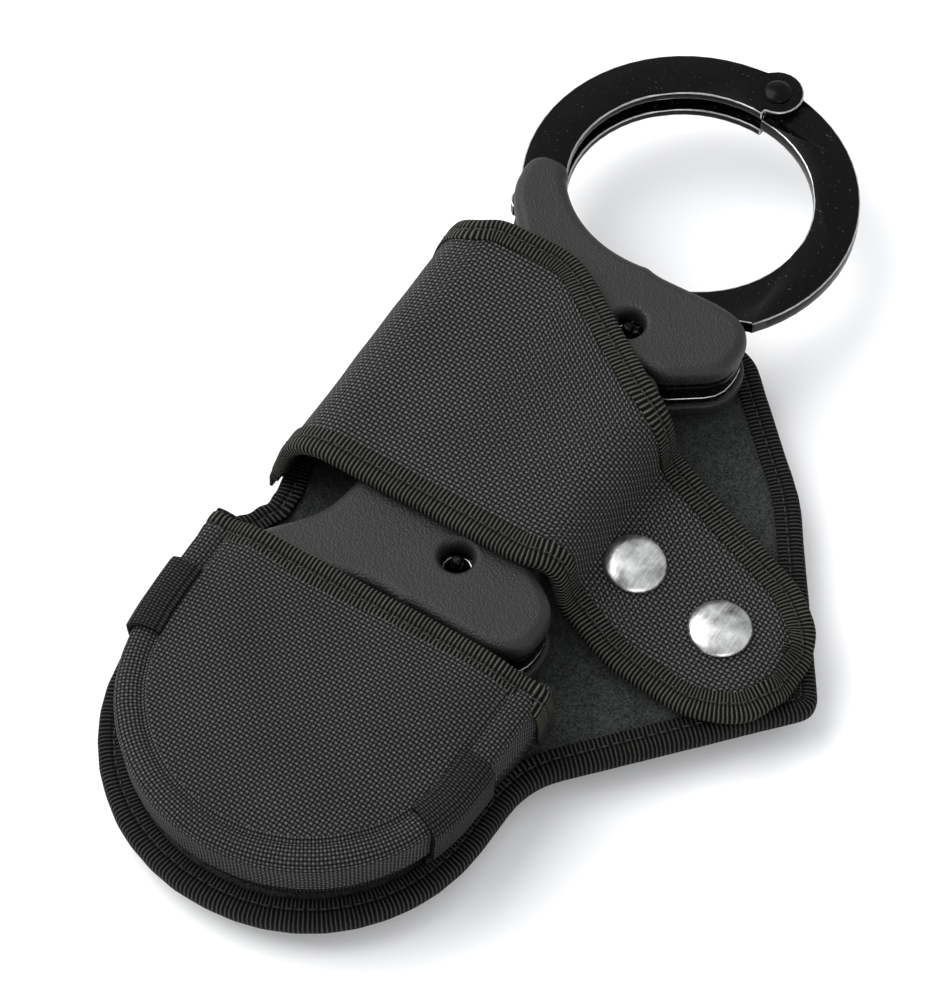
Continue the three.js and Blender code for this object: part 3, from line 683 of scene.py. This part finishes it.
def filled(line, gap):
    """Even triangles inside a flat outline: (points, triangles). The outline's points come first.

    The grid also has points outside the outline. No triangle uses those, so they are left out.
    """
    low, high = line.min(0), line.max(0)
    gap *= MM
    xs = np.arange(low[0] + gap / 2, high[0], gap)
    ys = np.arange(low[1] + gap / 2, high[1], gap * 0.87)
    grid = np.array([(x + (gap / 2 if row % 2 else 0), y) for row, y in enumerate(ys) for x in xs])
    nearest = np.array([np.min(np.linalg.norm(line - p, axis=1)) for p in grid])
    points = np.vstack([line, grid[nearest > gap * 0.6]])
    ring = [(i, (i + 1) % len(line)) for i in range(len(line))]
    made = delaunay_2d_cdt([Vector(p) for p in points], ring, [], 1, 1e-9)
    used = sorted({k for triangle in made[2] for k in triangle} | set(range(len(line))))
    number = {k: i for i, k in enumerate(used)}
    return np.array([made[0][k][:] for k in used]), [[number[k] for k in triangle] for triangle in made[2]]


def ripple(x, y, z, size):
    """Smooth noise between -1 and 1 at a place in metres, size millimetres wide."""
    return noise.noise(Vector((x, y, z)) / (size * MM))


print("cloth builders ready")

# %% [markdown]
# ### Folded tape
# A tape is swept along an edge. Its section is a fold: flat on top, round at the nose and flat underneath, with
# a shallow groove where the seam pulls it down. The hidden inner side follows at the tape's own thickness.

# %% Sweep a folded tape along an edge


def fold_section(over, under, reach):
    """The tape's section as (outwards, up, distance from the nose), in millimetres."""
    nose = 0.75
    inner = 0.6
    top = [(-reach, -0.12), (-reach + 0.25, 0), (-4.2, 0.06), (-3.55, 0.0), (-SEAM_BACK, -0.2), (-2.65, 0.0),
           (-1.6, 0.06)]
    middle = (over - under) / 2
    half = (over + under) / 2
    round_nose = []
    for k in range(7):
        degrees = 90 - 30 * k
        angle = math.radians(degrees)
        out = math.copysign(abs(math.cos(angle)) ** 0.8, math.cos(angle))
        up = math.copysign(abs(math.sin(angle)) ** 0.8, math.sin(angle))
        round_nose.append((-0.8 + (0.8 + nose) * out, middle + half * up, degrees / 90 * 1.4))
    section = [(d, over + h, -d + 0.6) for d, h in top]
    section += round_nose
    section += [(d, -under - h, d - 0.6) for d, h in reversed(top)]
    section += [(-reach, -under + inner, -reach), (-0.4, -under + inner, -1), (-0.4, over - inner, 1),
                (-reach, over - inner, reach)]
    return section


def wrap_edge(name, edge, out, up, section, look, body, closed):
    """Sweeps a folded tape along an edge, given the outward and upward directions at each point."""
    rows = []
    spots = []
    for point, o, u, along in zip(edge, out, up, distances(edge)):
        wave = 0.1 * ripple(*point, 6) + 0.14 * ripple(*point, 17)
        row = []
        for d, h, s in section:
            give = wave * (1 if d > -1 else 0.7)
            row.append(point + o * ((d + give) * MM) + u * ((h + 0.5 * wave) * MM))
        rows.append(row)
        spots.append((along, [s * MM for *_, s in section] + [section[0][2] * MM]))
    piece = loft(name, rows, spots, look, body, ring=True, closed=closed)
    if not closed:
        with edited(piece.data) as made:
            bmesh.ops.holes_fill(made, edges=[e for e in made.edges if e.is_boundary])
    return piece


def stitch(made, centres, side, lift):
    """Adds one stitch to a bmesh: a thread with six sides, thick in the middle and sunk at its ends."""
    rings = []
    for centre, (thick, rise) in zip(centres, ((0.12, -0.12), (0.24, 0.08), (0.12, -0.12))):
        middle = centre + lift * (rise * MM)
        turns = [side * math.cos(a) + lift * math.sin(a) for a in np.arange(6) * math.pi / 3]
        rings.append([made.verts.new(middle + turn * thick * MM) for turn in turns])
    for first, second in zip(rings, rings[1:]):
        for k in range(6):
            made.faces.new((first[k], first[(k + 1) % 6], second[(k + 1) % 6], second[k]))
    made.faces.new(rings[0][::-1])
    made.faces.new(rings[-1])


def sew(name, edge, out, up, height, body):
    """A row of stitches along a taped edge: short rounded threads that lie in the seam."""
    walked = distances(edge)
    line = edge + out * (-SEAM_BACK * MM) + up * (height * MM)
    mesh = bpy.data.meshes.new(name)
    with edited(mesh) as made:
        at = 0.0
        while at + 2.4 * MM < walked[-1]:
            centres = [read_at(line, walked, at + t) for t in (0, 1.1 * MM, 2.2 * MM)]
            stitch(made, centres, read_at(out, walked, at), read_at(up, walked, at))
            at += 2.75 * MM
        bmesh.ops.recalc_face_normals(made, faces=made.faces)
    return add_piece(name, mesh, thread, body)


print("tape section has", len(fold_section(1.8, 1.8, 5.4)), "points")

# %% [markdown]
# ## The back
# The back is a foam board covered in nylon, lined with felt on the side that the cuffs lie on. The lining is a
# single sheet glued over the foam, and it swells slightly between the bound edges.

# %% Build the padded back and its lining


def board(name, line, low, high, swell, gap, look):
    """A flat piece between two heights whose faces swell away from its edge, by swell millimetres."""
    points, triangles = filled(line, gap)
    inside = np.array([np.min(np.linalg.norm(line - p, axis=1)) for p in points]) / MM
    rise = swell * (1 - np.exp(-((inside / 6) ** 2)))
    bumps = np.array([0.12 * ripple(x, y, 0, 14) for x, y in points]) * (1 - np.exp(-inside))
    top = np.column_stack([points, high + (rise + bumps) * MM])
    bottom = np.column_stack([points, low - (rise * 0.3) * MM])
    count = len(points)
    faces = triangles + [[i + count for i in reversed(f)] for f in triangles]
    rim = len(line)
    faces += [[i, i + count, (i + 1) % rim + count, (i + 1) % rim] for i in range(rim)]
    mesh = bpy.data.meshes.new(name)
    mesh.from_pydata(np.vstack([top, bottom]).tolist(), [], faces)
    lay_cloth(mesh, [points[k % count] for face in faces for k in face])
    return add_piece(name, mesh, look, "pouch_and_frame")


low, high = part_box("back_panel")
inset_edge = panel_edge - outward(panel_edge) * 0.4 * MM
back = board("padded_back", inset_edge, low.z, high.z - 0.1 * MM, swell=0.0, gap=3, look=nylon)
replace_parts(back, "back_panel")

low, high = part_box("back_lining")
lining = board("felt_lining_sheet", inset_edge, high.z - 0.9 * MM, high.z, swell=0.1, gap=2.2, look=felt)
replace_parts(lining, "back_lining")

# %% [markdown]
# ### The back's bound edge
# One tape goes all the way round. Beside the pocket's mouth, where the pull of the flap gathers the edge, the tape
# is ruffled: its edge wanders out and up in uneven folds.

# %% Bind the back
low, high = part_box("back_binding")
middle = (low.z + high.z) / 2
half = (high.z - low.z) / 2 / MM
edge = eased(evenly(panel_edge, 0.8 * MM, True), 2, True)
out = unit(eased(outward(edge), 6, True))
edge = np.column_stack([edge, np.full(len(edge), middle)])
out = np.column_stack([out, np.zeros(len(out))])
up = np.tile([0.0, 0.0, 1.0], (len(edge), 1))
GATHER_X, GATHER_Y, GATHER_REACH = -0.036, -0.042, 0.0085
gathered = (edge[:, 0] < GATHER_X) * np.exp(-(((edge[:, 1] - GATHER_Y) / GATHER_REACH) ** 4))
folds = np.array([ripple(0, p[1], 0.4, 2.6) + 0.6 * ripple(0, p[1], 0.9, 1.7) for p in edge])
pull = eased(folds[:, None], 2, True)[:, 0] * gathered
edge = edge + out * (pull * 0.8 * MM)[:, None] + up * ((0.6 + 1.1 * pull) * gathered * MM)[:, None]
leaning = up + out * (pull * 0.4)[:, None]
section = fold_section(half, half, reach=5.6)
back_tape = wrap_edge("back_edge_tape", edge, out, leaning, section, dark_tape, "pouch_and_frame", True)
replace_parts(back_tape, "back_binding")
sew("back_edge_stitches", edge, out, up, half - 0.1, "pouch_and_frame")
print("back tape, mm:", round(float(distances(edge)[-1]) / MM))

# %% [markdown]
# ## Softened pieces
# The moulded covers, the grip's shells and the belt loop have simple shapes with generous round edges. Remeshing
# them with a fine even grid and relaxing it rounds every edge by the same amount, as a mould radius does.

# %% Remesh and relax


def softened(name, node, grid, passes, look):
    """A rounded copy of a frame node that stands for it; grid is in millimetres."""
    source = frame["nodes"][node]
    piece = bpy.data.objects.new(name + "_source", source.data.copy())
    bpy.context.scene.collection.objects.link(piece)
    weld(piece)
    net = piece.modifiers.new("net", "REMESH")
    net.mode = "VOXEL"
    net.voxel_size = grid * MM
    relax = piece.modifiers.new("relax", "SMOOTH")
    relax.factor = 0.5
    relax.iterations = passes
    seen = piece.evaluated_get(bpy.context.evaluated_depsgraph_get())
    mesh = bpy.data.meshes.new_from_object(seen)
    mesh.name = name
    mesh.materials.clear()
    bpy.data.objects.remove(piece)
    made = add_piece(name, mesh, look, frame["nodes"][node]["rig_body"])
    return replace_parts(made, node)


def by_side(mesh):
    """Cloth positions for a wrapped piece: from above on its faces, and round the middle on its sides."""
    spots = np.zeros((len(mesh.loops), 2))
    for face in mesh.polygons:
        flat = abs(face.normal.z) > 0.6
        for k in face.loop_indices:
            p = mesh.vertices[mesh.loops[k].vertex_index].co
            if flat:
                spots[k] = (p.x, p.y)
            elif abs(face.normal.x) > abs(face.normal.y):
                spots[k] = (p.z, p.y)
            else:
                spots[k] = (p.x, p.z)
    lay_cloth(mesh, spots)


for end in ("upper", "lower"):
    for side in ("front", "rear"):
        cover = softened(f"{end}_{side}_moulding", f"{end}_{side}_cover", grid=0.5, passes=9, look=polymer)
    print(end, "moulding:", len(cover.data.polygons), "faces")
for side in ("front", "rear"):
    softened(f"grip_{side}_moulding", f"grip_{side}_shell", grid=0.45, passes=5, look=polymer)

loop = softened("belt_loop_strap", "belt_loop", grid=0.6, passes=4, look=nylon)
by_side(loop.data)
print("loop ready:", len(loop.data.polygons), "faces")

# %% [markdown]
# ## The pocket
# The pocket is a stiff shell of laminated nylon moulded round one cuff. Its wall stands on the back, pinches in
# towards its foot, and turns over a rounded rim into a domed face. A seam runs inside the rim. The rim and wall
# are rows lofted round the outline; the face is filled, lifted to the frame's dome and relaxed, so that no facet
# shows.

# %% Measure the pocket
low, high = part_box("pocket")
middle_cut = np.vstack(cut_lines("pocket", (0, 0, 0), (1, 0, 0)))
crown = max(middle_cut, key=lambda p: p[2] * 3 + p[1])
lean = (high.y - crown[1]) / (crown[2] - low.z)
shape = cut_lines("pocket", (0, 0, low.z + 0.5 * MM), (0, 0, 1))[0][:, :2]
order = shape[np.lexsort((shape[:, 1], shape[:, 0]))]
hull = []
for half_line in (order, order[::-1]):
    part = []
    for p in half_line:
        while len(part) > 1:
            (ax, ay), (bx, by) = part[-1] - part[-2], p - part[-2]
            if ax * by - ay * bx > 0:
                break
            part.pop()
        part.append(p)
    hull += part[:-1]
hull = np.array(hull)
hull = np.roll(hull, -np.argmax(hull[:, 1] - hull[:, 0]), 0)
arch = eased(evenly(hull, 1.1 * MM, False), 3, False)
arch_out = eased(outward(arch, False), 6, False)
ends = [(p / MM).round(1) for p in (arch[0], arch[-1])]
print("pocket outline ends, mm:", ends, "mouth leans", round(lean, 3))

# %% Loft the wall and rim, and fill the face
dome = BVHTree.FromPolygons([v.co[:] for v in frame["nodes"]["pocket"].data.vertices],
                            [p.vertices[:] for p in frame["nodes"]["pocket"].data.polygons])


def mouth_y(z):
    """How far the shell reaches towards the flap at a height."""
    return high.y - (z - low.z) * lean


def dome_height(x, y):
    """The frame's pocket height above a point, reading just inside its mouth where the point is outside."""
    y = min(y, crown[1] - 0.6 * MM)
    hit = dome.ray_cast(Vector((x, y, 0.06)), Vector((0, 0, -1)))[0]
    return hit.z if hit else low.z + 0.02


# Each step of the wall and rim, in millimetres: how far inside the outline, and how far above the face's rim.
STEPS = [(3.6, -19.0), (3.3, -15.5), (0.7, -11.5), (0.45, -6.5), (0.1, -4.0), (0.0, -2.4), (0.6, -1.1),
         (1.9, -0.35), (3.4, -0.1), (4.9, -0.15), (5.7, -0.45), (6.1, -0.75), (6.5, -0.45), (7.3, 0.15)]
walked = distances(arch)
rim_height = np.array([dome_height(*(p - o * 6.6 * MM)) for p, o in zip(arch, arch_out)])
rim_height = eased(rim_height[:, None], 40, False)[:, 0]
round_end = np.clip((crown[1] - 0.008 - arch[:, 1]) / 0.02, 0, 1)
rows = []
for inset, drop in STEPS:
    z = np.maximum(rim_height + drop * MM, low.z)
    if not rows:
        z = np.full(len(arch), low.z)
    pinch = inset * (0.35 + 0.65 * round_end) if drop < -4 else np.full(len(arch), inset)
    flat = arch - arch_out * (pinch * MM)[:, None]
    flat[:, 1] = np.minimum(flat[:, 1], mouth_y(z))
    wave = np.array([ripple(*p, 0.01 * drop, 16) for p in flat]) * 0.22
    wave += np.array([ripple(*p, 0.3, 6) for p in flat]) * 0.1
    rows.append(np.column_stack([flat, z + wave * MM * (1 if drop > -12 else 0)]))
rows = np.array(rows)
face_line = rows[-1][:, :2]
lip = np.linspace(face_line[-1], face_line[0], 70)[1:-1]
points, triangles = filled(np.vstack([face_line, lip]), 1.5)
heights = np.array([dome_height(x, y) for x, y in points])
count = len(face_line)
near = [set() for _ in points]
for a, b, c in triangles:
    near[a] |= {b, c}
    near[b] |= {a, c}
    near[c] |= {a, b}
heights[:count] = rows[-1][:, 2]
for _ in range(14):
    heights[count:] = [0.4 * heights[i] + 0.6 * np.mean(heights[list(near[i])]) for i in range(count, len(points))]
heights[count:] += [0.18 * MM * ripple(x, y, 0.2, 22) for x, y in points[count:]]
print("pocket face:", len(points), "points, height, mm:", (np.array([heights.min(), heights.max()]) / MM).round(1))

# %% Join them into one shell
verts = np.vstack([rows[:-1].reshape(-1, 3), np.column_stack([points, heights])])
base = (len(rows) - 1) * count
faces = []
spots = []
deep = distances(rows[:, count // 2])
for i, (here, above) in enumerate(zip(deep, deep[1:])):
    top = base if i + 2 == len(rows) else (i + 1) * count
    for j, (before, after) in enumerate(zip(walked, walked[1:])):
        faces.append((i * count + j, i * count + j + 1, top + j + 1, top + j))
        spots += [(before, here), (after, here), (after, above), (before, above)]
for triangle in triangles:
    faces.append([base + k for k in triangle])
    spots += [tuple(points[k]) for k in triangle]
mesh = bpy.data.meshes.new("pocket_shell")
mesh.from_pydata(verts.tolist(), [], faces)
lay_cloth(mesh, spots)
with edited(mesh) as made:
    bmesh.ops.recalc_face_normals(made, faces=made.faces)
cloth_area = face_up(mesh)
pocket = add_piece("pocket_shell", mesh, fine_nylon, "pouch_and_frame")
thicken(pocket, "laminate", 1.2, -1)
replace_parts(pocket, "pocket")
print("pocket cloth, cm2:", round(cloth_area * 1e4, 1))

# %% [markdown]
# ### Webbing tabs
# A short piece of webbing is folded over the rim on each side, where the pocket's side is sewn to the back. It
# lies on the shell like a second skin, so it is the same rows again, moved out square to the shell and given
# thickness.

# %% Fold the tabs over the rim
TAB_ROWS = 12


def normals(rows):
    """The directions square to a skin that is given as rows of points."""
    return unit(np.cross(np.gradient(rows, axis=1), np.gradient(rows, axis=0)), 1e-12)


facing = normals(rows)
if np.sum(facing[3, :, :2] * arch_out) < 0:
    facing = -facing
for side in ("left", "right"):
    low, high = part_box(f"pocket_tab_{side}")
    own = [j for j in range(count) if low.y <= arch[j, 1] <= high.y and (arch[j, 0] < 0) == (side == "left")]
    patch = (rows + facing * 0.3 * MM)[:TAB_ROWS, own]
    patch[-1] -= facing[TAB_ROWS - 1, own] * 0.5 * MM
    spots = [(d, walked[own]) for d in deep[:TAB_ROWS]]
    tab = loft(f"pocket_{side}_tab", patch, spots, webbing, "pouch_and_frame")
    if tab.data.polygons[len(own) * 5].normal.x * patch[4, 0, 0] < 0:
        tab.data.flip_normals()
    thicken(tab, "webbing", 1.4, 1)
    edge_round = tab.modifiers.new("soft_edge", "BEVEL")
    edge_round.width = 0.35 * MM
    edge_round.segments = 2
    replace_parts(tab, f"pocket_tab_{side}")
    print(side, "tab:", len(tab.data.polygons), "faces")

# %% [markdown]
# ### The mouth's tape
# The mouth is bound like every other edge. Its edge line is the shell's own: up one wall, over the face's lip
# and down the other wall, so that the tape can't part from the cloth.

# %% Bind the pocket's mouth
over_lip = np.column_stack([points[count:count + len(lip)], heights[count:count + len(lip)]])
left_wall, right_wall = sorted((rows[:, 0], rows[:, -1]), key=lambda wall: wall[0, 0])
over_lip = over_lip[np.argsort(over_lip[:, 0])]
mouth = eased(evenly(np.vstack([left_wall, over_lip, right_wall[::-1]]), 0.8 * MM, False), 6, False)
out = np.tile(np.array([0, 1.0, lean]) / math.hypot(1, lean), (len(mouth), 1))
up = unit(np.cross(out, eased(np.gradient(mouth, axis=0), 10, False)))
if up[len(up) // 2, 2] < 0:
    up = -up
edge = mouth - up * 0.75 * MM
section = fold_section(1.6, 1.6, reach=6.3)
mouth_tape = wrap_edge("pocket_mouth_tape", edge, out, up, section, tape, "pouch_and_frame", False)
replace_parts(mouth_tape, "pocket_binding")
sew("pocket_mouth_stitches", edge, out, up, 1.5, "pouch_and_frame")
print("mouth tape, mm:", round(float(distances(mouth)[-1]) / MM))

# %% [markdown]
# ## The flap
# The flap is one strip of laminated nylon: it leaves the back's left edge, climbs the side of the grip, crosses
# over it and comes down to the back on the other side, where two snaps hold it. Its line comes from a cut
# through the frame's flap that runs out through the rounded tip; its width at each place comes from cuts the
# other way.

# %% Read the flap's line and width
low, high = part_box("flap")
tip_ys = [v.co.y for v in frame["nodes"]["flap"].data.vertices if v.co.x > high.x - 1 * MM]
section = cut_lines("flap", (0, 0.7 * min(tip_ys) + 0.3 * max(tip_ys), 0), (0, 1, 0))[0][:, [0, 2]]
section = evenly(section, 0.4 * MM, True)
tip = np.argmax(section[:, 0])
hinge = np.argmin(section[:, 1] + 3 * section[:, 0])
gap = (hinge - tip) % len(section)
one_way = np.roll(section, -tip, 0)[: gap + 1][::-1]
other_way = np.roll(section, -hinge, 0)[: len(section) - gap + 1]
outer = max(one_way, other_way, key=lambda way: way[:, 1].mean())
outer = eased(evenly(outer, 1.3 * MM, False), 5, False)
xs = np.linspace(low.x + 12 * MM, high.x - 0.15 * MM, 70)
widths = []
for x in xs:
    line = np.vstack(cut_lines("flap", (x, 0, 0), (1, 0, 0)))
    widths.append((line[:, 1].min(), line[:, 1].max()))
widths = np.array(widths)
print("flap line, mm:", (outer[0] / MM).round(1), "to", (outer[-1] / MM).round(1), len(outer), "points")

# %% Weave the flap
FLAP_THICKNESS = 2.0
walked = distances(outer)
slope = unit(np.gradient(outer, axis=0))
rows = []
spots = []
across = np.linspace(0, 1, 56)
snaps = [(a + b) / 2 for a, b in (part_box("snap_cap_inner"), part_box("snap_cap_outer"))]
for (x, z), s, (run, climb) in zip(outer, walked, slope):
    near_y = np.interp(x, xs, widths[:, 0])
    far_y = np.interp(x, xs, widths[:, 1])
    y = near_y + (far_y - near_y) * across
    top = np.clip((z - 0.030) / 0.004, 0, 1)
    dip = np.exp(-(((across - 0.5) / 0.33) ** 2)) * np.exp(-(((x + 0.004) / 0.018) ** 2))
    puff = 0.3 * np.sin(math.pi * across) * top - 0.7 * top * dip
    wave = np.array([0.3 * ripple(x, v, z, 24) + 0.12 * ripple(x, v, z, 9) for v in y])
    calm = np.ones(len(y))
    for snap in snaps:
        away_from = np.hypot(x - snap.x, y - snap.y) / MM
        calm *= 1 - np.exp(-((away_from / 9) ** 2))
        wave -= 0.25 * np.exp(-(((away_from - 10) / 3) ** 2))
    lift = (puff + wave * calm) * MM
    rows.append(np.column_stack([x - climb * lift, y, z + run * lift]))
    spots.append((s, list(y) + [y[-1]]))
rows = np.array(rows)
flap = loft("flap_cloth", rows, spots, nylon, "flap")
flap_area = face_up(flap.data)
thicken(flap, "laminate", FLAP_THICKNESS, -1)
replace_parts(flap, "flap")
flap_flat = (float(walked[-1]), float(widths[:, 1].max() - widths[:, 0].min()))
print("flap, mm:", [round(v / MM) for v in flap_flat], "cloth, cm2:", round(flap_area * 1e4))

# %% [markdown]
# ### The flap's tape
# The tape follows the flap's own rim: along the lower edge, round the tip and back along the upper edge. A tape
# can't turn a sharp corner, so the rim is eased before the sweep.

# %% Bind the flap
ROWS_AT_HINGE = 3  # the flap's first rows, which the hinge strip covers
facing = normals(rows)
if facing[len(rows) // 2, 28, 2] < 0:
    facing = -facing
rim = np.vstack([rows[:, 0], rows[-1, 1:-1], rows[::-1, -1]])
rim_up = np.vstack([facing[:, 2], facing[-3, 1:-1], facing[::-1, -3]])
rim = rim[ROWS_AT_HINGE:-ROWS_AT_HINGE]
rim_up = rim_up[ROWS_AT_HINGE:-ROWS_AT_HINGE]
walked = distances(rim)
at = np.linspace(0, walked[-1], round(walked[-1] / (0.8 * MM)))
edge = eased(read_at(rim, walked, at), 12, False)
up = unit(eased(read_at(rim_up, walked, at), 12, False))
out = unit(np.cross(eased(np.gradient(edge, axis=0), 6, False), up))
if np.sum(out * (edge - edge.mean(0))) < 0:
    out = -out
edge = edge - up * (FLAP_THICKNESS / 2 * MM)
section = fold_section(1.75, 1.75, reach=6.0)
flap_tape = wrap_edge("flap_edge_tape", edge, out, up, section, tape, "flap", False)
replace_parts(flap_tape, "flap_binding")
sew("flap_edge_stitches", edge, out, up, 1.65, "flap")
print("flap tape, mm:", round(float(at[-1]) / MM))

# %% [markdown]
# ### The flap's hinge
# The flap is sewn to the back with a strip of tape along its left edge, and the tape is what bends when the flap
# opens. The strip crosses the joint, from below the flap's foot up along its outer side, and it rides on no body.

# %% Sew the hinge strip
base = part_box("flap")[0]
ys = np.arange(widths[0, 0] + 0.4 * MM, widths[0, 1] - 0.4 * MM, 1.5 * MM)
heights = np.array([-4.2, -3, -2, -1.2, -0.6, 0, 0.6, 1.2, 2, 3, 4.2, 5.2]) * MM
outwards = np.interp(heights, [heights[0], 0, heights[-1]], [0.25, 0.1, -1.3]) * MM
rows = [[(base.x - 0.1 * MM - o, y, base.z + h) for h, o in zip(heights, outwards)] for y in ys]
spots = [(y, list(heights)) for y in ys]
strip = loft("flap_hinge_strip", rows, spots, dark_tape, None)
thicken(strip, "tape", 0.7, 0)
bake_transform(strip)
print("hinge strip, mm:", round((ys[-1] - ys[0]) / MM), "long")

# %% [markdown]
# ## Floor
# A pale floor takes the soft shadow.

# %% Floor
floor_look = Finish("pale_floor", Roughness=0.6, Specular_IOR_Level=0.2)
shade = floor_look.speckle(60, 2)
floor_look.wear(Base_Color=floor_look.blend(shade, (0.93, 0.93, 0.93, 1), (0.95, 0.95, 0.95, 1)))
mesh = bpy.data.meshes.new("floor")
corners = [(x, y, -0.0002) for x, y in ((-3, -3), (3, -3), (3, 3), (-3, 3))]
mesh.from_pydata(corners, [], [(0, 1, 2, 3)])
mesh.materials.append(floor_look.material)
floor = bpy.data.objects.new("floor", mesh)
bpy.context.scene.collection.objects.link(floor)
